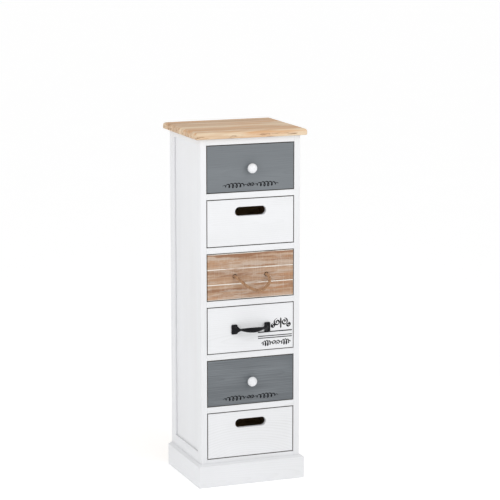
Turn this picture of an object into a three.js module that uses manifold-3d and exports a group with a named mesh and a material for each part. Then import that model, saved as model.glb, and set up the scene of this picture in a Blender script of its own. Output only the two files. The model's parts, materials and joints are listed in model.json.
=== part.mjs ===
// Tall chest of six drawers: a painted frame-and-panel carcass on a plinth, with a natural wood top.
// Millimetres, +Z up. The drawers face -Y, and +X is on the right of someone standing in front.
// The origin is the middle of the base of the bounding box.
// Inside the group, y = 0 is the front face of the posts, and y grows towards the back.

import * as THREE from 'three';
import { mergeVertices } from 'three/addons/utils/BufferGeometryUtils.js';
import Module from 'manifold-3d';

const wasm = await Module();
wasm.setup();

// ---- Driving dimensions ----

const height = 980;
const arcSegments = 8;

const top = {
  width: 320,
  depth: 278,
  thickness: 18,
  sideOverhang: 16,
  frontOverhang: 13,
  cornerRadius: 3,
  upperEdgeRadius: 9,
  lowerEdgeRadius: 3,
};

const opening = { width: 254, height: 131, lowest: 76 };
const rail = { thickness: 16.5, depth: 20 };
const runner = { width: 17, end: 247 };

const frontPostDepth = 30;
const rearPostDepth = 34;
const sideRail = { bottomLow: 20, bottomHigh: 93, topLow: 944 };
const sidePanel = { thickness: 5, recess: 5 };
const backPanel = { thickness: 3, lap: 10, low: 40 };
const plinth = { thickness: 11, height: 65, bevelWidth: 10, bevelDrop: 5 };

// A groove is this much wider and deeper than the panel edge that sits in it.
const fit = 0.25;
const sideGrooveDepth = 6;

const drawer = {
  gap: 2.5,
  frontThickness: 12,
  depth: 240,
  width: 247,
  sideThickness: 9,
  sideHeight: 100,
  runnerClearance: 1,
  bottomThickness: 3,
  bottomHeight: 6,
  grooveDepth: 4.5,
};

// Pulls, from the top drawer down.
const pulls = ['knob', 'slot', 'rope', 'bar', 'knob', 'slot'];
const slot = { length: 90.5, height: 25, belowOpeningTop: 36 };
const plankGroove = { width: 3, depth: 1.5, planks: 3 };
const knob = { radius: 13.5, reach: 23, neckRadius: 6, baseRadius: 8, baseThickness: 3, boreDepth: 12 };
const screw = { radius: 2, holeRadius: 2.25, headRadius: 4, headHeight: 3 };
const rope = { radius: 4.5, holeRadius: 6, holeX: 46, knotRadius: 9.5, knotY: 22 };
const bar = {
  length: 113,
  reach: 30,
  thickness: 8,
  plateWidth: 17,
  plateHeight: 27,
  plateThickness: 3.5,
  plateChamfer: 2,
  leafHalfHeight: 7.2,
  neckHalfHeight: 3,
  footHalfHeight: 11,
  neckX: 33,
  footX: 42,
  endX: 54,
  boreDepth: 5,
};

// ---- Worked out from them ----

const halfCarcass = top.width / 2 - top.sideOverhang;
const halfOpening = opening.width / 2;
const backOverhang = top.frontOverhang;
const carcassDepth = top.depth - top.frontOverhang - backOverhang;
const carcassTop = height - top.thickness;
const rearPostFront = carcassDepth - rearPostDepth;
const drawerPitch = opening.height + rail.thickness;
const midFront = opening.height / 2;
const plateX = (bar.length - bar.plateWidth) / 2;

// Half of the depth between the bar handle and the back of the top lies on each side of the origin.
const frontY = (bar.reach - carcassDepth - backOverhang) / 2;

// ---- Geometry helpers ----

const axisX = new THREE.Vector3(1, 0, 0);
const axisY = new THREE.Vector3(0, 1, 0);
const axisZ = new THREE.Vector3(0, 0, 1);

function outline(points) {
  return new THREE.Shape(points.map(([a, b]) => new THREE.Vector2(a, b)));
}

function sweep(shape, from, to, u, v) {
  const w = new THREE.Vector3().crossVectors(u, v);
  const settings = { depth: to - from, bevelEnabled: false, curveSegments: arcSegments };
  const geometry = new THREE.ExtrudeGeometry(shape, settings);
  geometry.translate(0, 0, from);
  return geometry.applyMatrix4(new THREE.Matrix4().makeBasis(u, v, w));
}

// Each takes an outline in the plane of the other two axes: (y, z), (x, z) and (x, y).
const alongX = (shape, from, to) => sweep(shape, from, to, axisY, axisZ);
const alongY = (shape, from, to) => sweep(shape, -to, -from, axisX, axisZ);
const alongZ = (shape, from, to) => sweep(shape, from, to, axisX, axisY);

function board([x0, x1], [y0, y1], [z0, z1]) {
  const geometry = new THREE.BoxGeometry(x1 - x0, y1 - y0, z1 - z0);
  return geometry.translate((x0 + x1) / 2, (y0 + y1) / 2, (z0 + z1) / 2);
}

function solid(geometry) {
  const bare = geometry.clone();
  bare.deleteAttribute('normal');
  bare.deleteAttribute('uv');
  const merged = mergeVertices(bare);
  const vertProperties = new Float32Array(merged.attributes.position.array);
  const triVerts = new Uint32Array(merged.index.array);
  return new wasm.Manifold(new wasm.Mesh({ numProp: 3, vertProperties, triVerts }));
}

function surface(manifold) {
  const mesh = manifold.getMesh();
  const geometry = new THREE.BufferGeometry();
  geometry.setAttribute('position', new THREE.BufferAttribute(mesh.vertProperties, 3));
  geometry.setIndex(new THREE.BufferAttribute(mesh.triVerts, 1));
  geometry.computeVertexNormals();
  return geometry;
}

const cut = (body, tools) => surface(tools.reduce((rest, tool) => rest.subtract(solid(tool)), solid(body)));
const join = (bodies) => surface(bodies.map(solid).reduce((all, body) => all.add(body)));
const common = (bodies) => surface(bodies.map(solid).reduce((all, body) => all.intersect(body)));

function circle(x, z, radius) {
  return new THREE.Shape().absarc(x, z, radius, 0, 2 * Math.PI);
}

// A rectangle with each corner rounded by its own radius, given from the low-low corner anticlockwise.
function roundedRectangle([a0, a1], [b0, b1], [r0, r1, r2, r3]) {
  const shape = new THREE.Shape();
  shape.absarc(a0 + r0, b0 + r0, r0, Math.PI, 1.5 * Math.PI);
  shape.absarc(a1 - r1, b0 + r1, r1, 1.5 * Math.PI, 2 * Math.PI);
  shape.absarc(a1 - r2, b1 - r2, r2, 0, 0.5 * Math.PI);
  shape.absarc(a0 + r3, b1 - r3, r3, 0.5 * Math.PI, Math.PI);
  return shape;
}

function piece(name, geometry, finish) {
  const mesh = new THREE.Mesh(geometry, new THREE.MeshStandardMaterial(finish));
  mesh.name = name;
  return mesh;
}

// ---- Finishes ----

const whitePaint = { color: 0xeceded, roughness: 0.6, metalness: 0 };
const greyPaint = { color: 0x7f8488, roughness: 0.6, metalness: 0 };
const topWood = { color: 0xd3b08a, roughness: 0.6, metalness: 0 };
const plankWood = { color: 0xbd9c7c, roughness: 0.7, metalness: 0 };
const drawerWood = { color: 0xd8c29e, roughness: 0.75, metalness: 0 };
const plywood = { color: 0xcfb68e, roughness: 0.8, metalness: 0 };
const knobPaint = { color: 0xf4f4f2, roughness: 0.4, metalness: 0 };
const jute = { color: 0xb88d60, roughness: 0.95, metalness: 0 };
const blackIron = { color: 0x18181b, roughness: 0.5, metalness: 0.7 };
const screwSteel = { color: 0xb9bbbd, roughness: 0.35, metalness: 1 };

// ---- Carcass ----

// The common part of three sweeps rounds the upper and lower edges and the four plan corners.
function topBoard() {
  const x = [-top.width / 2, top.width / 2];
  const y = [-top.frontOverhang, top.depth - top.frontOverhang];
  const z = [carcassTop, height];
  const edges = [top.lowerEdgeRadius, top.lowerEdgeRadius, top.upperEdgeRadius, top.upperEdgeRadius];
  const corners = Array(4).fill(top.cornerRadius);
  return common([
    alongZ(roundedRectangle(x, y, corners), ...z),
    alongX(roundedRectangle(y, z, edges), ...x),
    alongY(roundedRectangle(x, z, edges), ...y),
  ]);
}

// Half widths of the panel groove's outer and inner walls.
const grooveOuter = halfCarcass - sidePanel.recess + fit;
const grooveInner = grooveOuter - sidePanel.thickness - 2 * fit;

// The side frames are alike but for the sign of x: side is -1 on the left and 1 on the right.
function frontPost(side) {
  const grooveFloor = frontPostDepth - sideGrooveDepth;
  const shape = outline([
    [side * halfCarcass, 0],
    [side * halfOpening, 0],
    [side * halfOpening, frontPostDepth],
    [side * grooveInner, frontPostDepth],
    [side * grooveInner, grooveFloor],
    [side * grooveOuter, grooveFloor],
    [side * grooveOuter, frontPostDepth],
    [side * halfCarcass, frontPostDepth],
  ]);
  return alongZ(shape, 0, carcassTop);
}

// The rear post also has a rebate along its inner back corner, which holds the back panel.
function rearPost(side) {
  const grooveFloor = rearPostFront + sideGrooveDepth;
  const rebateFloor = carcassDepth - backPanel.thickness;
  const rebateX = halfOpening + backPanel.lap;
  const shape = outline([
    [side * halfCarcass, rearPostFront],
    [side * grooveOuter, rearPostFront],
    [side * grooveOuter, grooveFloor],
    [side * grooveInner, grooveFloor],
    [side * grooveInner, rearPostFront],
    [side * halfOpening, rearPostFront],
    [side * halfOpening, rebateFloor],
    [side * rebateX, rebateFloor],
    [side * rebateX, carcassDepth],
    [side * halfCarcass, carcassDepth],
  ]);
  return alongZ(shape, 0, carcassTop);
}

// A rail between the posts. Its edge at panelEdge is grooved for the panel, and the other edge is plain.
function sideFrameRail(side, panelEdge, plainEdge) {
  const grooveFloor = panelEdge + Math.sign(plainEdge - panelEdge) * sideGrooveDepth;
  const shape = outline([
    [side * halfCarcass, plainEdge],
    [side * halfCarcass, panelEdge],
    [side * grooveOuter, panelEdge],
    [side * grooveOuter, grooveFloor],
    [side * grooveInner, grooveFloor],
    [side * grooveInner, panelEdge],
    [side * halfOpening, panelEdge],
    [side * halfOpening, plainEdge],
  ]);
  return alongY(shape, frontPostDepth, rearPostFront);
}

function sideFramePanel(side) {
  const tongue = sideGrooveDepth - fit;
  const faces = [side * (grooveOuter - fit), side * (grooveInner + fit)].sort((a, b) => a - b);
  return board(
    faces,
    [frontPostDepth - tongue, rearPostFront + tongue],
    [sideRail.bottomHigh - tongue, sideRail.topLow + tongue],
  );
}

function sideFrame(name, side) {
  return [
    piece(`front_${name}_post`, frontPost(side), whitePaint),
    piece(`rear_${name}_post`, rearPost(side), whitePaint),
    piece(`${name}_top_rail`, sideFrameRail(side, sideRail.topLow, carcassTop), whitePaint),
    piece(`${name}_bottom_rail`, sideFrameRail(side, sideRail.bottomHigh, sideRail.bottomLow), whitePaint),
    piece(`${name}_side_panel`, sideFramePanel(side), whitePaint),
  ];
}

// The front rail and the two runners behind it, on which the drawer above slides.
function runnerFrame(level) {
  const runnerX = halfOpening - runner.width;
  const shape = outline([
    [-halfOpening, 0],
    [halfOpening, 0],
    [halfOpening, runner.end],
    [runnerX, runner.end],
    [runnerX, rail.depth],
    [-runnerX, rail.depth],
    [-runnerX, runner.end],
    [-halfOpening, runner.end],
  ]);
  const upperFace = opening.lowest + level * drawerPitch;
  return alongZ(shape, upperFace - rail.thickness, upperFace);
}

// Plinth boards are planted on the outside of the posts, with mitred front corners and a bevelled top edge.
// The section starts at the back face, which lies on the posts; out is the sign of the outward direction.
function plinthSection(backFace, out) {
  const outer = backFace + out * plinth.thickness;
  return outline([
    [backFace, 0],
    [outer, 0],
    [outer, plinth.height - plinth.bevelDrop],
    [outer - out * plinth.bevelWidth, plinth.height],
    [backFace, plinth.height],
  ]);
}

function plinthFront() {
  const outer = halfCarcass + plinth.thickness;
  const plan = outline([
    [-outer, -plinth.thickness],
    [outer, -plinth.thickness],
    [halfCarcass, 0],
    [-halfCarcass, 0],
  ]);
  return common([alongZ(plan, 0, plinth.height), alongX(plinthSection(0, -1), -outer, outer)]);
}

function plinthSide(side) {
  const outer = halfCarcass + plinth.thickness;
  const plan = outline([
    [side * outer, -plinth.thickness],
    [side * halfCarcass, 0],
    [side * halfCarcass, carcassDepth],
    [side * outer, carcassDepth],
  ]);
  const section = alongY(plinthSection(side * halfCarcass, side), -plinth.thickness, carcassDepth);
  return common([alongZ(plan, 0, plinth.height), section]);
}

function carcass() {
  const group = new THREE.Group();
  const topRailLow = opening.lowest + pulls.length * drawerPitch - rail.thickness;
  const backHalf = halfOpening + backPanel.lap - fit;
  const backFaces = [carcassDepth - backPanel.thickness, carcassDepth];
  group.add(piece('top_panel', topBoard(), topWood));
  group.add(...sideFrame('left', -1));
  group.add(...sideFrame('right', 1));
  const frontTopRail = board([-halfOpening, halfOpening], [0, rail.depth], [topRailLow, carcassTop]);
  group.add(piece('front_top_rail', frontTopRail, whitePaint));
  for (let number = 1; number <= pulls.length; number++) {
    const level = pulls.length - number;
    group.add(piece(`runner_frame_${number}`, runnerFrame(level), whitePaint));
  }
  const back = board([-backHalf, backHalf], backFaces, [backPanel.low, carcassTop]);
  group.add(piece('back_panel', back, plywood));
  group.add(piece('plinth_front', plinthFront(), whitePaint));
  group.add(piece('plinth_left', plinthSide(-1), whitePaint));
  group.add(piece('plinth_right', plinthSide(1), whitePaint));
  return group;
}

// ---- Drawer boxes, in the frame of their own opening: z = 0 is its lower edge ----

const bottomLow = drawer.runnerClearance + drawer.bottomHeight;
const bottomHigh = bottomLow + drawer.bottomThickness;
const drawerHalf = drawer.width / 2;
const drawerInside = drawerHalf - drawer.sideThickness;
const drawerSideTop = drawer.runnerClearance + drawer.sideHeight;
const drawerBackFront = drawer.depth - drawer.sideThickness;

// The side of the front board, with the groove for the drawer bottom in its back face.
// A planked front also has a V groove at each plank joint.
function frontSection(planked) {
  const low = drawer.gap;
  const high = opening.height - drawer.gap;
  const back = drawer.frontThickness;
  const points = [
    [0, low],
    [back, low],
    [back, bottomLow - fit],
    [back - drawer.grooveDepth, bottomLow - fit],
    [back - drawer.grooveDepth, bottomHigh + fit],
    [back, bottomHigh + fit],
    [back, high],
    [0, high],
  ];
  if (planked) {
    for (let joint = plankGroove.planks - 1; joint > 0; joint--) {
      const z = low + ((high - low) * joint) / plankGroove.planks;
      points.push([0, z + plankGroove.width / 2], [plankGroove.depth, z], [0, z - plankGroove.width / 2]);
    }
  }
  return outline(points);
}

function stadium(centreZ) {
  const radius = slot.height / 2;
  const x = slot.length / 2 - radius;
  const shape = new THREE.Shape();
  shape.absarc(x, centreZ, radius, -0.5 * Math.PI, 0.5 * Math.PI);
  shape.absarc(-x, centreZ, radius, 0.5 * Math.PI, 1.5 * Math.PI);
  return shape;
}

// What is cut through a front for its pull.
const frontHoles = {
  knob: () => [circle(0, midFront, screw.holeRadius)],
  slot: () => [stadium(opening.height - slot.belowOpeningTop)],
  rope: () => [-1, 1].map((side) => circle(side * rope.holeX, midFront, rope.holeRadius)),
  bar: () => [-1, 1].map((side) => circle(side * plateX, midFront, screw.holeRadius)),
};

function drawerFront(pull) {
  const half = halfOpening - drawer.gap;
  const whole = alongX(frontSection(pull === 'rope'), -half, half);
  const through = frontHoles[pull]().map((shape) => alongY(shape, -1, drawer.frontThickness + 1));
  return cut(whole, through);
}

function drawerSide(side) {
  const grooveX = drawerInside + drawer.grooveDepth;
  const shape = outline([
    [side * drawerHalf, drawer.runnerClearance],
    [side * drawerHalf, drawerSideTop],
    [side * drawerInside, drawerSideTop],
    [side * drawerInside, bottomHigh + fit],
    [side * grooveX, bottomHigh + fit],
    [side * grooveX, bottomLow - fit],
    [side * drawerInside, bottomLow - fit],
    [side * drawerInside, drawer.runnerClearance],
  ]);
  return alongY(shape, drawer.frontThickness, drawer.depth);
}

function drawerBack() {
  return board(
    [-drawerInside, drawerInside],
    [drawerBackFront, drawer.depth],
    [bottomHigh + fit, drawerSideTop],
  );
}

// The bottom slides in from behind, under the back board, into the grooves of the sides and the front.
function drawerBottom() {
  const tongue = drawer.grooveDepth - fit;
  return board(
    [-drawerInside - tongue, drawerInside + tongue],
    [drawer.frontThickness - tongue, drawer.depth],
    [bottomLow, bottomHigh],
  );
}

// ---- Pulls ----

// Lathe profiles are (radius, y). The pieces point towards -Y, so each profile starts at its front.
function lathe(profile) {
  return new THREE.LatheGeometry(profile.map(([radius, y]) => new THREE.Vector2(radius, y)), 24);
}

// A domed head that curls under to a neck, a base flange, and a blind hole for the screw.
function knobSolid() {
  const rimY = -(knob.reach + knob.baseThickness) / 2;
  const domeHeight = knob.reach + rimY;
  const profile = [[0, -knob.reach]];
  for (let step = 1; step <= arcSegments; step++) {
    const angle = (step / arcSegments) * 0.5 * Math.PI;
    profile.push([knob.radius * Math.sin(angle), rimY - domeHeight * Math.cos(angle)]);
  }
  const undersideDepth = (knob.reach - knob.baseThickness) / 4;
  for (let step = 1; step <= arcSegments; step++) {
    const angle = (step / arcSegments) * 0.5 * Math.PI;
    const radius = knob.neckRadius + (knob.radius - knob.neckRadius) * Math.cos(angle);
    profile.push([radius, rimY + undersideDepth * Math.sin(angle)]);
  }
  profile.push(
    [knob.neckRadius, -knob.baseThickness],
    [knob.baseRadius, -knob.baseThickness],
    [knob.baseRadius, 0],
    [screw.holeRadius, 0],
    [screw.holeRadius, -knob.boreDepth],
    [0, -knob.boreDepth],
  );
  return lathe(profile);
}

// A pan-headed machine screw from inside the drawer, with its tip the given distance past the front's face.
function screwSolid(tipReach) {
  const seat = drawer.frontThickness;
  return lathe([
    [0, -tipReach],
    [screw.radius, -tipReach],
    [screw.radius, seat],
    [screw.headRadius, seat],
    [screw.headRadius, seat + screw.headHeight / 2],
    [screw.headRadius * 0.75, seat + screw.headHeight],
    [0, seat + screw.headHeight],
  ]);
}

// The middle of the rope, from the end inside the left hole to the end inside the right hole.
// It is (x, y, z) from the middle of the holes on the front's face.
const ropeRoute = [
  [-46, 36, -3],
  [-46, 30, -1],
  [-46, 22, 0],
  [-46, 12, 0],
  [-46, 4, 0],
  [-46, -3, 0],
  [-44.5, -9, -2],
  [-39.5, -14, -6.5],
  [-31, -17.5, -14.5],
  [-20, -20, -24.5],
  [-8, -21.5, -32],
  [4, -22, -37],
  [17, -22, -39.5],
  [29.5, -22, -36.5],
  [40, -21.5, -29],
  [47, -20, -19.5],
  [49, -16, -10],
  [48, -10, -3],
  [46.5, -4, -0.5],
  [46, 2, 0],
  [46, 12, 0],
  [46, 22, 0],
  [46, 30, -1],
  [46, 36, -3],
];

function ropeSolid() {
  const points = ropeRoute.map(([x, y, z]) => new THREE.Vector3(x, y, z));
  const path = new THREE.CatmullRomCurve3(points);
  const section = new THREE.Shape().absarc(0, 0, rope.radius, 0, 2 * Math.PI);
  const tube = new THREE.ExtrudeGeometry(section, { steps: 60, extrudePath: path, curveSegments: 5 });
  const knots = [-1, 1].map((side) => {
    const knot = new THREE.SphereGeometry(rope.knotRadius, 16, 10);
    return knot.translate(side * rope.holeX, rope.knotY, 0);
  });
  return join([tube, ...knots]);
}

// Half the bar's height at a distance from its middle: a leaf, a neck, and a foot that fans out.
function barHalfHeight(distance) {
  const toNeck = Math.min(distance / bar.neckX, 1);
  const toFoot = Math.max(0, Math.min((distance - bar.neckX) / (bar.footX - bar.neckX), 1));
  const leaf = (bar.leafHalfHeight - bar.neckHalfHeight) * (1 - toNeck ** 2);
  const foot = (bar.footHalfHeight - bar.neckHalfHeight) * toFoot ** 1.5;
  return bar.neckHalfHeight + leaf + foot;
}

// The bow seen from the front.
function barFrontOutline() {
  const end = bar.endX;
  const steps = 4 * arcSegments;
  const edge = [];
  for (let step = 0; step <= steps; step++) {
    const x = -end + (2 * end * step) / steps;
    edge.push([x, barHalfHeight(Math.abs(x))]);
  }
  const lower = edge.map(([x, z]) => [x, midFront - z]);
  const upper = edge.map(([x, z]) => [x, midFront + z]).reverse();
  return outline([...lower, ...upper]);
}

// The bow seen from above: a low arch whose feet run down into the plates.
function barPlanOutline() {
  const outer = -bar.reach;
  const inner = outer + bar.thickness;
  const root = -bar.plateThickness / 2;
  const shape = new THREE.Shape();
  shape.moveTo(-bar.endX, root);
  shape.bezierCurveTo(-0.74 * bar.endX, 0.5 * outer, -0.38 * bar.endX, outer, 0, outer);
  shape.bezierCurveTo(0.38 * bar.endX, outer, 0.74 * bar.endX, 0.5 * outer, bar.endX, root);
  shape.lineTo(bar.footX, root);
  shape.bezierCurveTo(0.7 * bar.footX, 0.36 * inner, 0.4 * bar.footX, inner, 0, inner);
  shape.bezierCurveTo(-0.4 * bar.footX, inner, -0.7 * bar.footX, 0.36 * inner, -bar.footX, root);
  return shape;
}

function barPlate(side) {
  const x = [plateX - bar.plateWidth / 2, plateX + bar.plateWidth / 2];
  const z = [midFront - bar.plateHeight / 2, midFront + bar.plateHeight / 2];
  const c = bar.plateChamfer;
  const shape = outline([
    [side * x[0], z[0] + c],
    [side * (x[0] + c), z[0]],
    [side * (x[1] - c), z[0]],
    [side * x[1], z[0] + c],
    [side * x[1], z[1] - c],
    [side * (x[1] - c), z[1]],
    [side * (x[0] + c), z[1]],
    [side * x[0], z[1] - c],
  ]);
  return alongY(shape, -bar.plateThickness, 0);
}

function barSolid() {
  const span = bar.footHalfHeight + 1;
  const bow = common([
    alongZ(barPlanOutline(), midFront - span, midFront + span),
    alongY(barFrontOutline(), -bar.reach - 1, 0),
  ]);
  const whole = join([bow, barPlate(-1), barPlate(1)]);
  const bores = [-1, 1].map((side) => {
    return alongY(circle(side * plateX, midFront, screw.holeRadius), -bar.boreDepth, 1);
  });
  return cut(whole, bores);
}

// The nodes that each kind of pull adds to its drawer, placed on the middle of the front.
const pullPieces = {
  slot: () => [],
  knob: (name) => [
    at(piece(`${name}_knob`, knobSolid(), knobPaint), 0, midFront),
    at(piece(`${name}_knob_screw`, screwSolid(knob.boreDepth - 2), screwSteel), 0, midFront),
  ],
  rope: (name) => [at(piece(`${name}_rope_pull`, ropeSolid(), jute), 0, midFront)],
  bar: (name) => [
    piece(`${name}_bar_handle`, barSolid(), blackIron),
    at(piece(`${name}_handle_screw_left`, screwSolid(bar.boreDepth - 2), screwSteel), -plateX, midFront),
    at(piece(`${name}_handle_screw_right`, screwSolid(bar.boreDepth - 2), screwSteel), plateX, midFront),
  ],
};

function at(mesh, x, z) {
  mesh.position.set(x, 0, z);
  return mesh;
}

// ---- Assembly ----

const frontFinish = [greyPaint, whitePaint, plankWood, whitePaint, greyPaint, whitePaint];

function drawerGroup(number) {
  const name = `drawer_${number}`;
  const pull = pulls[number - 1];
  const group = new THREE.Group();
  group.add(piece(`${name}_front`, drawerFront(pull), frontFinish[number - 1]));
  group.add(piece(`${name}_left_side`, drawerSide(-1), drawerWood));
  group.add(piece(`${name}_right_side`, drawerSide(1), drawerWood));
  group.add(piece(`${name}_back`, drawerBack(), drawerWood));
  group.add(piece(`${name}_bottom`, drawerBottom(), plywood));
  pullPieces[pull](name).forEach((mesh) => group.add(mesh));
  group.position.z = opening.lowest + (pulls.length - number) * drawerPitch;
  return group;
}

const chest = new THREE.Group();
chest.position.y = frontY;
chest.add(carcass());
for (let number = 1; number <= pulls.length; number++) {
  chest.add(drawerGroup(number));
}

export default chest;
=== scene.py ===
# The looks of a tall chest of drawers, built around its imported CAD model.
# Metres, +Z up, the drawers face -Y. Positions come from the frame, and the grain runs along each board.

import json
import math
import random

import bmesh
import bpy
from mathutils import Matrix, Vector


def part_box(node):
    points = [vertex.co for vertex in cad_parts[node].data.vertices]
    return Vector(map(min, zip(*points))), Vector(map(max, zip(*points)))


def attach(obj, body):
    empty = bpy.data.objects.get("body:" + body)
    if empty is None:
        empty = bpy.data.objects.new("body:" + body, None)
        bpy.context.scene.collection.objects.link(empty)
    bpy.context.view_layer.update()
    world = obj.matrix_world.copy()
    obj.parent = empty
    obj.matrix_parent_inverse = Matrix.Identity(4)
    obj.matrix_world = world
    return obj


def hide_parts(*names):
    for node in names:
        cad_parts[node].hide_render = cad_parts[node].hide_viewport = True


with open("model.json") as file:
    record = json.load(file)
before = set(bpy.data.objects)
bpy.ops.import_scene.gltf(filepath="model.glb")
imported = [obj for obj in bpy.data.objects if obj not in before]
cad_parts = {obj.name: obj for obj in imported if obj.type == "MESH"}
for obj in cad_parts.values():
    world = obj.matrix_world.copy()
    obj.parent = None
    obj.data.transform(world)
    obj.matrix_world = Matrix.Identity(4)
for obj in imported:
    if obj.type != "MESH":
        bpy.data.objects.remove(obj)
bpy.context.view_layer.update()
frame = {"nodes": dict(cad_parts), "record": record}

MM = 0.001
ARRIS = 0.8 * MM


# ---- Places in the frame ----


def front_middle(number):
    """The middle of a drawer's front face."""
    low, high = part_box(f"drawer_{number}_front")
    return Vector(((low.x + high.x) / 2, low.y, (low.z + high.z) / 2))


def board_axes(node):
    """The axes along a board's length, across its width and through its thickness."""
    low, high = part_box(node)
    size = high - low
    return sorted(range(3), key=lambda axis: -size[axis])


# ---- Camera, world and lights ----

CAMERA_PLACE = Vector((-1.9886, -5.3097, 1.6762))
CAMERA_YAW = math.radians(20.938)
CAMERA_PITCH = math.radians(-10.423)
CAMERA_LENS = 149.97


def add_camera():
    data = bpy.data.cameras.new("camera")
    data.lens = CAMERA_LENS
    data.sensor_width = 36
    camera = bpy.data.objects.new("camera", data)
    bpy.context.scene.collection.objects.link(camera)
    ahead = Vector(
        (
            math.sin(CAMERA_YAW) * math.cos(CAMERA_PITCH),
            math.cos(CAMERA_YAW) * math.cos(CAMERA_PITCH),
            math.sin(CAMERA_PITCH),
        )
    )
    camera.location = CAMERA_PLACE
    camera.rotation_euler = ahead.to_track_quat("-Z", "Y").to_euler()
    bpy.context.scene.camera = camera


def add_area_light(name, place, target, size, power):
    data = bpy.data.lights.new(name, "AREA")
    data.shape = "RECTANGLE"
    data.size, data.size_y = size
    data.energy = power
    light = bpy.data.objects.new(name, data)
    bpy.context.scene.collection.objects.link(light)
    light.location = place
    light.rotation_euler = (Vector(target) - Vector(place)).to_track_quat("-Z", "Y").to_euler()


def add_surroundings():
    """A white studio, a little dimmer overhead, with a large soft light high on each side."""
    scene = bpy.context.scene
    scene.view_settings.view_transform = "Standard"
    world = bpy.data.worlds.new("studio")
    scene.world = world
    world.use_nodes = True
    tree = world.node_tree
    background = tree.nodes["Background"]
    background.inputs["Color"].default_value = (1, 1, 1, 1)
    direction = tree.nodes.new("ShaderNodeTexCoord").outputs["Generated"]
    split = tree.nodes.new("ShaderNodeSeparateXYZ")
    fade = tree.nodes.new("ShaderNodeMapRange")
    fade.interpolation_type = "SMOOTHSTEP"
    for key, value in (("From Min", 0.0), ("From Max", 0.3), ("To Min", 1.0), ("To Max", 0.77)):
        fade.inputs[key].default_value = value
    tree.links.new(direction, split.inputs[0])
    tree.links.new(split.outputs["Z"], fade.inputs["Value"])
    tree.links.new(fade.outputs["Result"], background.inputs["Strength"])
    add_area_light("key", (0.6, -1.2, 1.5), (0, 0, 0.8), (0.9, 0.9), 4.6)
    add_area_light("fill", (-1.3, -0.9, 1.4), (0, 0, 0.8), (0.9, 0.9), 4.8)


def add_floor(material):
    reach = 40
    mesh = bpy.data.meshes.new("floor")
    corners = [(-reach, -reach, 0), (reach, -reach, 0), (reach, reach, 0), (-reach, reach, 0)]
    mesh.from_pydata(corners, [], [(0, 1, 2, 3)])
    floor = bpy.data.objects.new("floor", mesh)
    bpy.context.scene.collection.objects.link(floor)
    floor.location.z = -0.2 * MM
    mesh.materials.append(material)


# ---- Node building ----


class Shader:
    """A material's node tree, with short calls for what the finishes below are made of."""

    def __init__(self, name):
        self.material = bpy.data.materials.new(name)
        self.material.use_nodes = True
        self.tree = self.material.node_tree
        self.surface = self.tree.nodes["Principled BSDF"]

    def add(self, kind, inputs=None, **settings):
        """Adds a node, sets its properties, and fills its inputs from values or other nodes' sockets."""
        node = self.tree.nodes.new("ShaderNode" + kind)
        for key, value in settings.items():
            setattr(node, key, value)
        for key, value in (inputs or {}).items():
            self.feed(node.inputs[key], value)
        return node

    def feed(self, socket, value):
        if isinstance(value, bpy.types.NodeSocket):
            self.tree.links.new(value, socket)
        else:
            socket.default_value = value

    def math(self, operation, a, b=0.0, clamp=False):
        node = self.add("Math", {0: a, 1: b}, operation=operation, use_clamp=clamp)
        return node.outputs[0]

    def remap(self, value, low, high, new_low=0.0, new_high=1.0):
        inputs = {"Value": value, "From Min": low, "From Max": high, "To Min": new_low, "To Max": new_high}
        return self.add("MapRange", inputs, interpolation_type="SMOOTHSTEP").outputs[0]

    def noise(self, vector, scale, detail=2.0, roughness=0.5):
        inputs = {"Vector": vector, "Scale": scale, "Detail": detail, "Roughness": roughness}
        return self.add("TexNoise", inputs).outputs["Fac"]

    def blend(self, fac, a, b, mode="MIX"):
        node = self.add("Mix", {"Factor": fac}, data_type="RGBA", blend_type=mode)
        self.feed(node.inputs["A"], a)
        self.feed(node.inputs["B"], b)
        return node.outputs["Result"]

    def ramp(self, value, stops):
        """A colour ramp through stops of (position, colour)."""
        node = self.add("ValToRGB", {"Fac": value})
        elements = node.color_ramp.elements
        while len(elements) < len(stops):
            elements.new(0.5)
        for element, (position, colour) in zip(elements, stops):
            element.position = position
            element.color = colour
        return node.outputs["Color"]

    def object_place(self):
        return self.add("TexCoord").outputs["Object"]

    def bump(self, height, distance):
        inputs = {"Height": height, "Distance": distance, "Strength": 1.0}
        return self.add("Bump", inputs).outputs["Normal"]

    def finish(self, colour, roughness, normal=None, **constants):
        """Connects the surface. Constants are set on the shader's own sockets."""
        self.feed(self.surface.inputs["Base Color"], colour)
        self.feed(self.surface.inputs["Roughness"], roughness)
        if normal is not None:
            self.feed(self.surface.inputs["Normal"], normal)
        for key, value in constants.items():
            label = key.replace("_", " ").title().replace("Ior", "IOR")
            self.surface.inputs[label].default_value = value
        return self.material


def rgb(red, green, blue):
    return (red, green, blue, 1.0)


# ---- Wood ----


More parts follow.
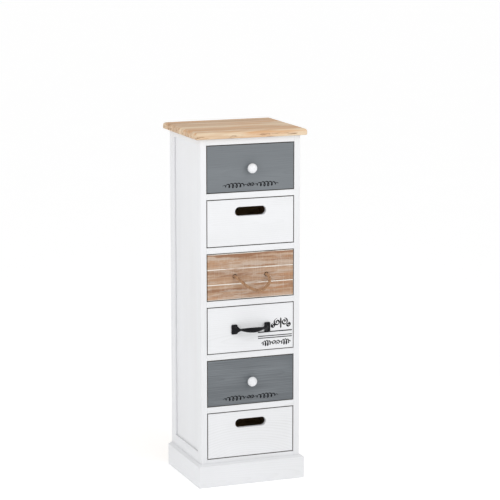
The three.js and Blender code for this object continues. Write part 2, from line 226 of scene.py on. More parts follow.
class Grain:
    """A board sawn from a log: growth rings round a heart that leans away under it, and long fibres."""

    def __init__(self, shader, node, seed, rings=190, lean=None, heart=None, strip=None):
        rng = random.Random(seed)
        self.shader = shader
        low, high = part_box(node)
        axes = board_axes(node)
        place = shader.add("SeparateXYZ", {0: shader.object_place()}).outputs
        middle = (low + high) / 2
        self.along, self.wide, self.deep = (shader.math("SUBTRACT", place[a], middle[a]) for a in axes)
        width = (high - low)[axes[1]]
        shift = rng.uniform(1, 9)
        self.tone = None
        if strip:
            # A board glued up from strips: each strip is another piece of log, with its own tone.
            which = shader.math("FLOOR", shader.math("DIVIDE", self.wide, strip))
            inputs = {"W": shader.math("ADD", which, shift)}
            cell = shader.add("TexWhiteNoise", inputs, noise_dimensions="1D")
            self.tone = cell.outputs["Value"]
            shift = shader.math("ADD", shader.math("MULTIPLY", self.tone, 7.0), rng.uniform(1, 9))
        self.shift = shift
        lean = lean or 0.07 * rng.choice((-1, 1))
        heart = heart or (rng.uniform(-0.5, 0.5) * width, rng.uniform(0.008, 0.03))
        self.rings = self.make_rings(rings, lean, heart)
        self.fibre = self.streaks(6, 420, 4)
        self.broad = self.streaks(1.6, 38, 2)

    def place(self, along, across):
        """Coordinates that are stretched along the grain: scales in periods per metre."""
        shader = self.shader
        x = shader.math("MULTIPLY", shader.math("ADD", self.along, self.shift), along)
        y = shader.math("MULTIPLY", self.wide, across)
        z = shader.math("MULTIPLY", shader.math("ADD", self.deep, self.shift), across)
        return shader.add("CombineXYZ", {0: x, 1: y, 2: z}).outputs[0]

    def streaks(self, along, across, detail):
        return self.shader.noise(self.place(along, across), 1.0, detail, 0.6)

    def make_rings(self, rings, lean, heart):
        """A saw-tooth from 0 just after each ring to 1 at its dark edge."""
        shader = self.shader
        wander = shader.math("SUBTRACT", shader.noise(self.place(3, 12), 1.0, 2.0), 0.5)
        u = shader.math("SUBTRACT", self.wide, heart[0])
        u = shader.math("ADD", u, shader.math("MULTIPLY", wander, 0.02))
        v = shader.math("ADD", self.deep, heart[1])
        v = shader.math("ADD", v, shader.math("MULTIPLY", self.along, lean))
        v = shader.math("ADD", v, shader.math("MULTIPLY", wander, 0.012))
        square = shader.math("ADD", shader.math("MULTIPLY", u, u), shader.math("MULTIPLY", v, v))
        radius = shader.math("SQRT", square)
        return shader.math("FRACT", shader.math("MULTIPLY", radius, rings))

    def ring_edge(self):
        """1 on the thin dark line that ends each ring, fading back over the ring."""
        shader = self.shader
        rise = shader.math("POWER", self.rings, 3.0)
        fall = shader.remap(self.rings, 0.93, 1.0, 1.0, 0.0)
        return shader.math("MULTIPLY", rise, fall)


def bare_wood(shader, grain, stops):
    """The colour of unpainted wood, or, with the gap stops, the painted shade on the bare edges in the
    gaps. Stops run from the palest wood to the darkest ring.
    """
    edge = grain.ring_edge()
    value = shader.math("MULTIPLY", edge, 0.3)
    value = shader.math("ADD", value, shader.remap(grain.broad, 0.25, 0.8, 0.0, 0.5))
    value = shader.math("ADD", value, shader.remap(grain.fibre, 0.3, 0.75, 0.0, 0.25))
    if grain.tone:
        value = shader.math("ADD", value, shader.remap(grain.tone, 0.0, 1.0, -0.15, 0.25))
    return shader.ramp(value, stops)


def painted(name, node, seed, colour, shade, log=None, roughness=0.55, show=1.0, cloudy=0.35, streak=0.0):
    """Paint over wood: the grain shows as faint relief, and as thinner paint on the ring edges.

    log overrides how the board was sawn. show, cloudy and streak are how much the rings, broad
    bands and fine fibres come through the paint.
    """
    shader = Shader(f"{name}_{node}")
    grain = Grain(shader, node, seed, **(log or {}))
    edge = grain.ring_edge()
    thin = shader.math("MULTIPLY", edge, shader.remap(grain.broad, 0.3, 0.75, 0.2 * show, 0.7 * show))
    cloud = shader.noise(grain.place(3, 14), 1.0, 3.0)
    tint = shader.math("ADD", thin, shader.remap(cloud, 0.3, 0.75, 0.0, cloudy))
    tint = shader.math("ADD", tint, shader.remap(grain.fibre, 0.35, 0.8, 0.0, streak))
    base = shader.blend(shader.math("MINIMUM", tint, 1.0), colour, shade)
    sunken_rings = shader.math("MULTIPLY", edge, -0.6)
    height = shader.math("ADD", sunken_rings, shader.math("MULTIPLY", grain.fibre, 0.5))
    brush = shader.noise(grain.place(10, 900), 1.0, 2.0)
    height = shader.math("ADD", height, shader.math("MULTIPLY", brush, 0.25))
    gloss = shader.remap(grain.fibre, 0.3, 0.7, roughness - 0.06, roughness + 0.08)
    # Bare wood inside the chest, and painted shade on the bare edges in the gaps round the drawers.
    for make_mask, stops in bare_and_gap_shade_parts(node):
        mask = make_mask(shader, grain)
        base = shader.blend(mask, base, bare_wood(shader, grain, stops))
        gloss = shader.math("MAXIMUM", gloss, shader.math("MULTIPLY", mask, 0.7))
    return shader.finish(base, gloss, shader.bump(height, 0.14 * MM), ior=1.45)


def natural(name, node, seed, stops, strip=None, rings=95, roughness=0.55):
    """Clear-finished or bare wood: the shader, its colour, its roughness and its relief."""
    shader = Shader(f"{name}_{node}")
    grain = Grain(shader, node, seed, rings=rings, strip=strip)
    base = bare_wood(shader, grain, stops)
    pores = shader.remap(shader.noise(grain.place(45, 1400), 1.0, 2.0), 0.62, 0.72)
    base = shader.blend(shader.math("MULTIPLY", pores, 0.35), base, stops[-1][1])
    edge = grain.ring_edge()
    proud_rings = shader.math("MULTIPLY", edge, 0.4)
    height = shader.math("ADD", proud_rings, shader.math("MULTIPLY", grain.fibre, 0.5))
    height = shader.math("SUBTRACT", height, shader.math("MULTIPLY", pores, 0.6))
    gloss = shader.remap(grain.fibre, 0.3, 0.7, roughness - 0.05, roughness + 0.12)
    return shader, grain, base, gloss, height


WHITE = rgb(0.785, 0.792, 0.81)
WHITE_SHADE = rgb(0.70, 0.705, 0.71)
GREY = rgb(0.185, 0.203, 0.218)
GREY_SHADE = rgb(0.125, 0.138, 0.15)
PIGMENT = rgb(0.82, 0.78, 0.72)

TOP_STOPS = [
    (0.0, rgb(0.78, 0.62, 0.43)),
    (0.3, rgb(0.69, 0.51, 0.34)),
    (0.6, rgb(0.58, 0.38, 0.23)),
    (1.0, rgb(0.34, 0.17, 0.075)),
]
PLANK_STOPS = [
    (0.0, rgb(0.56, 0.43, 0.34)),
    (0.35, rgb(0.45, 0.29, 0.19)),
    (0.65, rgb(0.37, 0.205, 0.11)),
    (1.0, rgb(0.20, 0.09, 0.045)),
]
BARE_STOPS = [
    (0.0, rgb(0.70, 0.57, 0.40)),
    (0.4, rgb(0.62, 0.47, 0.30)),
    (0.8, rgb(0.50, 0.35, 0.20)),
    (1.0, rgb(0.38, 0.25, 0.13)),
]
# Painted shade in the gaps round the drawers: the bare edges there are given a dark grey brown.
GAP_SHADE_STOPS = [
    (0.0, rgb(0.36, 0.335, 0.315)),
    (0.5, rgb(0.30, 0.275, 0.255)),
    (1.0, rgb(0.20, 0.18, 0.16)),
]
PLY_STOPS = [
    (0.0, rgb(0.62, 0.47, 0.30)),
    (0.5, rgb(0.53, 0.38, 0.23)),
    (1.0, rgb(0.40, 0.26, 0.15)),
]


def beyond(axis, limit, rag=0.0, test="GREATER_THAN"):
    """A mask of where a coordinate is past a limit, with the ragged edge of brushed paint."""

    def mask(shader, grain):
        place = shader.add("SeparateXYZ", {0: shader.object_place()}).outputs[axis]
        rags = shader.math("MULTIPLY", shader.math("SUBTRACT", grain.fibre, 0.5), rag)
        return shader.math(test, shader.math("ADD", place, rags), limit)

    return mask


def both(first, second):
    def mask(shader, grain):
        return shader.math("MULTIPLY", first(shader, grain), second(shader, grain))

    return mask


def near_outline(node, margin):
    """A mask of the outside edges of an upright board, and not of what is cut through it."""
    low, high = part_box(node)

    def mask(shader, grain):
        place = shader.add("SeparateXYZ", {0: shader.object_place()}).outputs
        shares = []
        for axis in (0, 2):
            half = (high - low)[axis] / 2
            offset = shader.math("SUBTRACT", place[axis], low[axis] + half)
            shares.append(shader.math("SUBTRACT", shader.math("ABSOLUTE", offset), half - margin))
        return shader.math("GREATER_THAN", shader.math("MAXIMUM", *shares), 0.0)

    return mask


def inside_of_side(limit):
    """A mask of where a board is nearer to the middle of the chest than a limit."""

    def mask(shader, grain):
        place = shader.add("SeparateXYZ", {0: shader.object_place()}).outputs[0]
        return shader.math("LESS_THAN", shader.math("ABSOLUTE", place), limit)

    return mask


def bare_and_gap_shade_parts(node):
    """Where a painted board was left bare inside the chest, and the edges in the gaps round the drawers,
    which get a dark grey brown as painted shade.
    """
    low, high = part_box(node)
    inside = inside_of_side(min(abs(low.x), abs(high.x)) + 0.5 * MM)
    behind_face = beyond(1, low.y + 1.3 * MM, rag=0.8 * MM)
    if node.startswith("drawer"):
        edges = both(behind_face, near_outline(node, 0.5 * MM))
        return [(edges, GAP_SHADE_STOPS), (beyond(1, high.y - 0.6 * MM), BARE_STOPS)]
    if node.startswith("runner_frame"):
        return [(behind_face, GAP_SHADE_STOPS), (beyond(1, low.y + 12 * MM, rag=4 * MM), BARE_STOPS)]
    if node == "front_top_rail":
        return [(both(behind_face, beyond(2, low.z + 0.5 * MM, test="LESS_THAN")), GAP_SHADE_STOPS)]
    if node.startswith("front_"):
        return [(both(behind_face, inside), GAP_SHADE_STOPS)]
    if node.endswith("side_panel"):
        return [(inside, BARE_STOPS)]
    return []


def white_paint(node, seed):
    look = {}
    if node == "drawer_6_front":
        # The lowest front was sawn close to the heart, so its rings run out in arches.
        look = {"log": {"heart": (-0.088, 0.0105), "lean": 0.42, "rings": 150}, "show": 1.5}
    return painted("white_paint", node, seed, WHITE, WHITE_SHADE, **look)


def grey_paint(node, seed):
    # The paint is thicker on the upper grey front than on the lower one.
    look = {"show": 0.8, "cloudy": 1.0, "streak": 1.0}
    if node == "drawer_1_front":
        look = {"show": 0.4, "streak": 0.3}
    return painted("grey_paint", node, seed, GREY, GREY_SHADE, roughness=0.6, **look)


def top_wood(node, seed):
    """Clear lacquer over strips glued edge to edge, with dark end grain, rough edges, and painted light
    that makes its sides paler.
    """
    shader, grain, base, gloss, height = natural("top_wood", node, seed, TOP_STOPS, strip=0.05)
    low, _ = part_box(node)
    normal = shader.add("SeparateXYZ", {0: shader.add("NewGeometry").outputs["True Normal"]}).outputs
    pale = shader.remap(shader.noise(grain.place(3, 40), 1.0, 3.0, 0.6), 0.48, 0.62, 0.0, 0.5)
    base = shader.blend(pale, base, rgb(0.78, 0.66, 0.48))
    orange = shader.remap(shader.noise(grain.place(4, 34), 1.0, 3.0, 0.6), 0.47, 0.6, 0.0, 0.8)
    base = shader.blend(orange, base, rgb(0.61, 0.33, 0.155))
    # Painted light: the faces that turn from up, the sides and rounded edges of the top, are mixed towards
    # a paler tan.
    edge = shader.remap(normal[2], 0.55, 0.15, 0.0, 0.3)
    base = shader.blend(edge, base, rgb(0.70, 0.57, 0.41))
    end = shader.remap(shader.math("ABSOLUTE", normal[0]), 0.5, 0.9, 0.0, 0.5)
    upright = shader.add("Mapping", {"Vector": shader.object_place(), "Scale": (20, 140, 30)}).outputs[0]
    checks = shader.remap(shader.noise(upright, 1.0, 3.0, 0.6), 0.5, 0.64)
    base = shader.blend(shader.math("MULTIPLY", end, checks), base, rgb(0.36, 0.19, 0.09))
    rough = shader.noise(grain.place(20, 150), 1.0, 4.0, 0.65)
    z = shader.add("SeparateXYZ", {0: shader.object_place()}).outputs[2]
    near_foot = shader.remap(z, low.z + 7 * MM, low.z + 12 * MM, 1.0, 0.0)
    patch = shader.math("MULTIPLY", shader.remap(rough, 0.53, 0.59), near_foot)
    base = shader.blend(shader.math("MULTIPLY", patch, 0.8), base, rgb(0.26, 0.12, 0.05))
    height = shader.math("SUBTRACT", height, shader.math("MULTIPLY", patch, 2.0))
    return shader.finish(base, gloss, shader.bump(height, 0.12 * MM), ior=1.45)


def plank_wood(node, seed):
    """Three planks with pale pigment rubbed into their joints, scorched along the top edge."""
    low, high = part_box(node)
    plank = (high.z - low.z) / 3
    shader, grain, base, gloss, height = natural("plank_wood", node, seed, PLANK_STOPS, strip=plank)
    z = shader.add("SeparateXYZ", {0: shader.object_place()}).outputs[2]
    level = shader.math("DIVIDE", shader.math("SUBTRACT", z, low.z), plank)
    nearest = shader.math("ROUND", level)
    from_joint = shader.math("ABSOLUTE", shader.math("SUBTRACT", level, nearest))
    dark = shader.remap(shader.noise(grain.place(6, 130), 1.0, 4.0, 0.65), 0.46, 0.62, 0.0, 0.75)
    base = shader.blend(dark, base, rgb(0.27, 0.135, 0.07))
    orange = shader.remap(shader.noise(grain.place(5, 45), 1.0, 4.0, 0.65), 0.5, 0.66, 0.0, 0.55)
    base = shader.blend(orange, base, rgb(0.46, 0.23, 0.11))
    wash = shader.remap(shader.noise(grain.place(9, 55), 1.0, 5.0, 0.75), 0.47, 0.62, 0.0, 0.5)
    base = shader.blend(wash, base, rgb(0.60, 0.52, 0.44))
    saw = shader.remap(shader.noise(grain.place(330, 16), 1.0, 2.0), 0.5, 0.7, 0.0, 0.2)
    base = shader.blend(saw, base, rgb(0.62, 0.53, 0.45))
    blotch = shader.noise(grain.place(13, 40), 1.0, 3.0, 0.65)
    lower_edge = shader.math("MULTIPLY_ADD", blotch, -30 * MM)
    shader.feed(lower_edge.node.inputs[2], high.z + 5 * MM)
    scorch = shader.remap(shader.math("SUBTRACT", z, lower_edge), 0.0, 5 * MM, 0.0, 0.85)
    base = shader.blend(scorch, base, rgb(0.27, 0.125, 0.06))
    joint = shader.remap(from_joint, 0.02, 0.04, 1.0, 0.0)
    rubbed = shader.remap(shader.noise(grain.place(16, 3), 1.0, 2.0), 0.34, 0.48, 0.35, 1.0)
    base = shader.blend(shader.math("MULTIPLY", joint, rubbed), base, PIGMENT)
    return shader.finish(base, gloss, shader.bump(height, 0.14 * MM), ior=1.45)


def drawer_wood(node, seed):
    shader, _, base, gloss, height = natural("drawer_wood", node, seed, BARE_STOPS, roughness=0.7)
    return shader.finish(base, gloss, shader.bump(height, 0.1 * MM))


def plywood(node, seed):
    shader, _, base, gloss, height = natural("plywood", node, seed, PLY_STOPS, rings=60, roughness=0.72)
    return shader.finish(base, gloss, shader.bump(height, 0.1 * MM))


def knob_paint():
    """Thick white gloss on turned wood, with fine turning lines and a few specks."""
    shader = Shader("knob_paint")
    place = shader.object_place()
    cloud = shader.noise(place, 160, 3.0)
    base = shader.blend(shader.remap(cloud, 0.35, 0.8), rgb(0.79, 0.80, 0.82), rgb(0.72, 0.73, 0.75))
    out = shader.add("SeparateXYZ", {0: place}).outputs[1]
    stretched = shader.add("CombineXYZ", {0: shader.math("MULTIPLY", out, 2500)}).outputs[0]
    turning = shader.noise(stretched, 1.0, 1.0)
    bumps = shader.math("ADD", shader.math("MULTIPLY", turning, 0.3), cloud)
    gloss = shader.remap(cloud, 0.3, 0.7, 0.24, 0.36)
    return shader.finish(base, gloss, shader.bump(bumps, 0.12 * MM), ior=1.5, coat_weight=0.3)


def black_iron():
    """Painted cast iron: a pitted casting under satin black, rubbed bare in places."""
    shader = Shader("black_iron")
    place = shader.object_place()
    casting = shader.noise(place, 700, 4.0, 0.6)
    lumps = shader.noise(place, 120, 2.0)
    rubbed = shader.remap(shader.noise(place, 90, 4.0, 0.7), 0.62, 0.78)
    base = shader.blend(rubbed, rgb(0.003, 0.003, 0.005), rgb(0.012, 0.011, 0.014))
    gloss = shader.remap(casting, 0.3, 0.7, 0.22, 0.38)
    height = shader.math("ADD", shader.math("MULTIPLY", casting, 0.5), lumps)
    return shader.finish(base, gloss, shader.bump(height, 0.2 * MM), specular_ior_level=0.17)


def jute():
    """Twisted jute: fibres along each strand, uneven in colour."""
    shader = Shader("jute")
    uv = shader.add("UVMap", uv_map="strand").outputs["UV"]
    split = shader.add("SeparateXYZ", {0: uv}).outputs
    around = shader.math("MULTIPLY", split[1], 26)
    along = shader.math("MULTIPLY_ADD", split[0], 260)
    shader.feed(along.node.inputs[2], shader.math("MULTIPLY", split[1], 40))
    fibre = shader.noise(shader.add("CombineXYZ", {0: around, 1: along}).outputs[0], 1.0, 4.0, 0.7)
    patch = shader.noise(shader.object_place(), 160, 3.0)
    value = shader.math("ADD", shader.math("MULTIPLY", fibre, 0.65), shader.math("MULTIPLY", patch, 0.45))
    base = shader.ramp(
        value,
        [
            (0.25, rgb(0.15, 0.065, 0.028)),
            (0.5, rgb(0.36, 0.195, 0.10)),
            (0.8, rgb(0.55, 0.35, 0.205)),
        ],
    )
    # Painted shade in the valleys, where a strand faces the middle of the rope.
    from_inside = shader.math("ABSOLUTE", shader.math("SUBTRACT", split[1], 0.5))
    valley_shade = shader.remap(from_inside, 0.22, 0.4, 0.9, 0.0)
    base = shader.blend(valley_shade, base, rgb(0.08, 0.035, 0.016))
    normal = shader.bump(fibre, 0.5 * MM)
    return shader.finish(base, 0.92, normal, sheen_weight=0.15, sheen_roughness=0.5)


def zinc_steel():
    shader = Shader("screw_steel")
    place = shader.object_place()
    cloud = shader.noise(place, 500, 3.0)
    base = shader.blend(cloud, rgb(0.62, 0.62, 0.6), rgb(0.48, 0.49, 0.5))
    gloss = shader.remap(cloud, 0.3, 0.7, 0.28, 0.45)
    return shader.finish(base, gloss, shader.bump(cloud, 0.05 * MM), metallic=1.0)


def ink():
    """Stencilled black ink, a little broken where the grain stands proud."""
    shader = Shader("ink")
    place = shader.object_place()
    stretched = shader.add("Mapping", {"Vector": place, "Scale": (60, 900, 900)}).outputs[0]
    grain = shader.noise(stretched, 1.0, 3.0)
    base = shader.blend(shader.remap(grain, 0.5, 0.8), rgb(0.006, 0.006, 0.008), rgb(0.03, 0.03, 0.033))
    gloss = shader.remap(grain, 0.3, 0.7, 0.5, 0.7)
    return shader.finish(base, gloss, shader.bump(grain, 0.04 * MM), specular_ior_level=0.15)


def floor_white():
    shader = Shader("floor_white")
    cloud = shader.noise(shader.object_place(), 2.5, 3.0)
    base = shader.blend(cloud, rgb(0.95, 0.95, 0.95), rgb(0.93, 0.93, 0.93))
    return shader.finish(base, 0.9, emission_color=(1, 1, 1, 1), emission_strength=0.26)


# ---- Mesh building ----


def add_piece(name, mesh, material, body, stands_for=()):
    """Puts a mesh made in the row frame on a CAD body."""
    piece = bpy.data.objects.new(name, mesh)
    bpy.context.scene.collection.objects.link(piece)
    mesh.materials.clear()
    mesh.materials.append(material)
    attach(piece, body)
    if stands_for:
        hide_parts(*stands_for)
    return piece


def mesh_from(bm, name, smooth=True):
    bmesh.ops.recalc_face_normals(bm, faces=bm.faces)
    mesh = bpy.data.meshes.new(name)
    bm.to_mesh(mesh)
    bm.free()
    mesh.shade_smooth() if smooth else mesh.shade_flat()
    return mesh


def mesh_with(mesh, name, *modifiers):
    """The mesh after modifiers, given as (type, settings)."""
    carrier = bpy.data.objects.new(name, mesh)
    bpy.context.scene.collection.objects.link(carrier)
    for kind, settings in modifiers:
        modifier = carrier.modifiers.new(kind.lower(), kind)
        for key, value in settings.items():
            setattr(modifier, key, value)
    depsgraph = bpy.context.evaluated_depsgraph_get()
    done = bpy.data.meshes.new_from_object(carrier.evaluated_get(depsgraph))
    bpy.data.objects.remove(carrier)
    done.name = name
    return done


def skin_rings(bm, rings):
    """Quads between rings of vertices, and a cap on each end."""
    for lower, upper in zip(rings, rings[1:]):
        count = len(lower)
        for i in range(count):
            j = (i + 1) % count
            bm.faces.new((lower[i], lower[j], upper[j], upper[i]))
    bm.faces.new(rings[0][::-1])
    bm.faces.new(rings[-1])


def catmull_rom(points, steps):
    """Points on a smooth curve through the given ones, with so many steps between each pair."""
    points = [Vector(p) for p in points]
    padded = [2 * points[0] - points[1], *points, 2 * points[-1] - points[-2]]
    line = []
    for a, b, c, d in zip(padded, padded[1:], padded[2:], padded[3:]):
        for step in range(steps):
            t = step / steps
            line.append(
                0.5
                * (
                    2 * b
                    + (c - a) * t
                    + (2 * a - 5 * b + 4 * c - d) * t * t
                    + (3 * b - a - 3 * c + d) * t * t * t
                )
            )
    line.append(points[-1])
    return line


def evenly(line, spacing):
    """The line again, with its points the same distance apart."""
    lengths = [(b - a).length for a, b in zip(line, line[1:])]
    count = max(2, round(sum(lengths) / spacing))
    step = sum(lengths) / count
    out, walked, i = [line[0].copy()], 0.0, 0
    for k in range(1, count):
        while walked + lengths[i] < k * step:
            walked += lengths[i]
            i += 1
        out.append(line[i].lerp(line[i + 1], (k * step - walked) / lengths[i]))
    out.append(line[-1].copy())
    return out


def carried_frames(line, closed=False):
    """A pair of cross directions at each point, carried along the line without twist."""
    frames = []
    side = None
    for i, point in enumerate(line):
        before = line[i - 1] if i or closed else point
        after = line[(i + 1) % len(line)] if i + 1 < len(line) or closed else point
        ahead = (after - before).normalized()
        if side is None:
            side = ahead.orthogonal().normalized()
        side = (side - ahead * side.dot(ahead)).normalized()
        frames.append((side.copy(), ahead.cross(side)))
    return frames


# ---- Rope ----

# The middle of the rope pull from inside the left hole to inside the right one,
# from the middle of the front's face, as the CAD model has it.
ROPE_ROUTE = [
    (-0.046, 0.012, 0),
    (-0.046, 0.004, 0),
    (-0.046, -0.003, 0),
    (-0.0445, -0.009, -0.002),
    (-0.0395, -0.014, -0.0065),
    (-0.031, -0.0175, -0.0145),
    (-0.02, -0.02, -0.0245),
    (-0.008, -0.0215, -0.032),
    (0.004, -0.022, -0.037),
    (0.017, -0.022, -0.0395),
    (0.0295, -0.022, -0.0365),
    (0.04, -0.0215, -0.029),
    (0.047, -0.02, -0.0195),
    (0.049, -0.016, -0.01),
    (0.048, -0.01, -0.003),
    (0.0465, -0.004, -0.0005),
    (0.046, 0.002, 0),
    (0.046, 0.012, 0),
]
ROPE_DIAMETER = 9 * MM
ROPE_LAY = 19 * MM
STRAND_RADIUS = ROPE_DIAMETER / 2 / (1 + 2 / math.sqrt(3))
STRAND_OFFSET = ROPE_DIAMETER / 2 - STRAND_RADIUS
ROPE_STEP = 1.0 * MM
KNOT_Y = 22 * MM
TAIL_REACH = Vector((0, 0.018, -0.002))


def add_strand(bm, line, closed, phase):
    """One strand: a tube that winds round the rope's middle, ribbed by its own yarns."""
    sides, yarns = 15, 5
    frames = carried_frames(line, closed)
    spacing = (line[1] - line[0]).length
    turns = len(line) * spacing / ROPE_LAY
    if closed:
        turns = round(turns)
    total = len(line) if closed else len(line) - 1
    middle = []
    for i, (point, (side, up)) in enumerate(zip(line, frames)):
        angle = phase + 2 * math.pi * turns * i / total
        middle.append(point + STRAND_OFFSET * (math.cos(angle) * side + math.sin(angle) * up))
    uv = bm.loops.layers.uv.new("strand")
    rings = []
    for i, point in enumerate(middle):
        # The first vertex of each ring is the one that faces away from the middle of the rope.
        side = (point - line[i]).normalized()
        if closed or i + 1 < len(middle):
            ahead = middle[(i + 1) % len(middle)] - point
        else:
            ahead = point - middle[i - 1]
        up = ahead.cross(side).normalized()
        side = up.cross(ahead).normalized()
        ring = []
        for k in range(sides):
            angle = 2 * math.pi * k / sides
            yarn = math.cos(yarns * angle - 2 * math.pi * 2 * turns * i / total)
            radius = STRAND_RADIUS * (1.02 + 0.05 * yarn)
            ring.append(bm.verts.new(point + radius * (math.cos(angle) * side + math.sin(angle) * up)))
        rings.append(ring)
    pairs = list(zip(rings, rings[1:]))
    if closed:
        pairs.append((rings[-1], rings[0]))
    for i, (lower, upper) in enumerate(pairs):
        for k in range(sides):
            j = (k + 1) % sides
            face = bm.faces.new((lower[k], lower[j], upper[j], upper[k]))
            places = ((i, k), (i, k + 1), (i + 1, k + 1), (i + 1, k))
            for loop, (u, v) in zip(face.loops, places):
                loop[uv].uv = (u * spacing, v / sides)
    if not closed:
        bm.faces.new(rings[0][::-1])
        bm.faces.new(rings[-1])


def rope_mesh(name, line, closed=False):
    bm = bmesh.new()
    for strand in range(3):
        add_strand(bm, line, closed, 2 * math.pi * strand / 3)
    return mesh_from(bm, name)


def knot_line(centre):
    """A trefoil, which is an overhand knot drawn tight behind the hole."""
    scale, depth, count = 3.4 * MM, 4.4 * MM, 96
    line = []
    for i in range(count):
        t = 2 * math.pi * i / count
        x = scale * (math.sin(t) + 2 * math.sin(2 * t))
        z = scale * (math.cos(t) - 2 * math.cos(2 * t))
        line.append(centre + Vector((x, -depth * math.sin(3 * t), z)))
    return line


def add_rope_pull(material):
    middle = front_middle(3)
    line = evenly(catmull_rom([middle + Vector(p) for p in ROPE_ROUTE], 12), ROPE_STEP)
    mesh = rope_mesh("rope_loop", line)
    rope = add_piece(mesh.name, mesh, material, "drawer_3", ["drawer_3_rope_pull"])
    for name, end in (("left", line[0]), ("right", line[-1])):
        centre = Vector((end.x, middle.y + KNOT_Y, middle.z))
        mesh = rope_mesh(f"rope_knot_{name}", knot_line(centre), closed=True)
        add_piece(mesh.name, mesh, material, "drawer_3")
        tail = evenly([end, centre, centre + TAIL_REACH], ROPE_STEP)
        mesh = rope_mesh(f"rope_tail_{name}", tail)
        add_piece(mesh.name, mesh, material, "drawer_3")


# ---- Top board ----


def rounded_ring(bm, low, high, radius, z, steps=8):
    """A ring of vertices round a rectangle with rounded corners."""
    ring = []
    # Each corner's place, the way inwards from it, and the quarter of a turn where its arc starts.
    corners = (
        (low.x, low.y, 1, 1, 2),
        (high.x, low.y, -1, 1, 3),
        (high.x, high.y, -1, -1, 0),
        (low.x, high.y, 1, -1, 1),
    )
    for x, y, inward_x, inward_y, quarter in corners:
        cx, cy = x + inward_x * radius, y + inward_y * radius
        for step in range(steps + 1):
            angle = (quarter + step / steps) * math.pi / 2
            ring.append(bm.verts.new((cx + radius * math.cos(angle), cy + radius * math.sin(angle), z)))
    return ring


def add_top_board(material):
    """The CAD top with true round edges: a small radius below and a large one above."""
    low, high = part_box("top_panel")
    lower, upper, corner = 3 * MM, 9 * MM, 3 * MM
    steps = 10
    profile = []
    for step in range(steps + 1):
        angle = step / steps * math.pi / 2
        profile.append((lower * (1 - math.sin(angle)), low.z + lower * (1 - math.cos(angle))))
    for step in range(steps + 1):
        angle = step / steps * math.pi / 2
        profile.append((upper * (1 - math.cos(angle)), high.z - upper * (1 - math.sin(angle))))
    bm = bmesh.new()
    rings = []
    for inset, z in profile:
        shrink = Vector((inset, inset, 0))
        rings.append(rounded_ring(bm, low + shrink, high - shrink, max(corner - inset, 0.6 * MM), z))
    skin_rings(bm, rings)
    mesh = mesh_from(bm, "top_board")
    mesh.set_sharp_from_angle(angle=math.radians(40))
    add_piece("top_board", mesh, material, "carcass", ["top_panel"])


# ---- Knobs and screws ----


def lathe_mesh(name, profile, centre, segments=48):
    """A profile of (radius, distance out of the front) turned about an axis that points towards -Y."""
    bm = bmesh.new()
    rings = []
    for radius, out in profile:
        if radius == 0:
            rings.append([bm.verts.new(centre + Vector((0, -out, 0)))])
            continue
        ring = []
        for k in range(segments):
            angle = 2 * math.pi * k / segments
            offset = Vector((radius * math.cos(angle), -out, radius * math.sin(angle)))
            ring.append(bm.verts.new(centre + offset))
        rings.append(ring)
    for lower, upper in zip(rings, rings[1:]):
        for k in range(segments):
            j = (k + 1) % segments
            if len(lower) == 1:
                bm.faces.new((lower[0], upper[j], upper[k]))
            elif len(upper) == 1:
                bm.faces.new((lower[k], lower[j], upper[0]))
            else:
                bm.faces.new((lower[k], lower[j], upper[j], upper[k]))
    return mesh_from(bm, name)


def add_knob(number, material):
    node = f"drawer_{number}_knob"
    low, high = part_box(node)
    centre = front_middle(number)
    radius, reach = (high.x - low.x) / 2, high.y - low.y
    neck, base, flange = 6 * MM, 8 * MM, 3 * MM
    rim = (reach + flange) / 2
    steps = 14
    profile = [(0, 0), (base - 0.6 * MM, 0), (base, 0.6 * MM), (base, flange - 0.8 * MM)]
    profile += [(base - 0.9 * MM, flange), (neck, flange + 1.0 * MM)]
    under = (reach - flange) / 4
    for step in range(steps):
        angle = (1 - step / steps) * math.pi / 2
        profile.append((neck + (radius - neck) * math.cos(angle), rim - under * math.sin(angle)))
    for step in range(steps + 1):
        angle = step / steps * math.pi / 2
        profile.append((radius * math.cos(angle), rim + (reach - rim) * math.sin(angle)))
    profile[-1] = (0, reach)
    mesh = lathe_mesh(f"knob_{number}", profile, centre)
    mesh.set_sharp_from_angle(angle=math.radians(50))
    add_piece(mesh.name, mesh, material, f"drawer_{number}", [node])


def add_screw(node, body, material):
    """The pan head inside the drawer with its cross recess; the shank is a plain rod in its hole."""
    low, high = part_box(node)
    radius = (high.x - low.x) / 2
    shank = radius / 2
    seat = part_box(body + "_front")[1].y
    head = high.y - seat
    middle = Vector(((low.x + high.x) / 2, seat, (low.z + high.z) / 2))
    steps = 6
    tip = seat - low.y
    profile = [(0, tip), (shank * 0.7, tip), (shank, tip - 0.8 * MM), (shank, 0), (radius, 0)]
    for step in range(steps + 1):
        angle = step / steps * math.pi / 2
        profile.append((radius * (0.45 + 0.55 * math.cos(angle)), -head * (0.35 + 0.65 * math.sin(angle))))
    profile.append((0, -head))
    mesh = lathe_mesh(node + "_head", profile, middle, 32)
    cutter = bmesh.new()
    for turn in (0, math.pi / 2):
        blade = bmesh.ops.create_cube(cutter, size=1)["verts"]
        place = Matrix.Translation(middle + Vector((0, head, 0))) @ Matrix.Rotation(turn, 4, "Y")
        place = place @ Matrix.Diagonal((radius * 1.1, head * 1.2, radius * 0.24, 1))
        bmesh.ops.transform(cutter, matrix=place, verts=blade)
    cross = bpy.data.objects.new("cross", mesh_from(cutter, "cross", smooth=False))
    bpy.context.scene.collection.objects.link(cross)
    boolean = {"operation": "DIFFERENCE", "object": cross, "solver": "EXACT", "use_self": True}
    mesh = mesh_with(mesh, node + "_head", ("BOOLEAN", boolean))
    bpy.data.objects.remove(cross)
    mesh.set_sharp_from_angle(angle=math.radians(35))
    add_piece(mesh.name, mesh, material, body, [node])


# ---- Bar handle ----

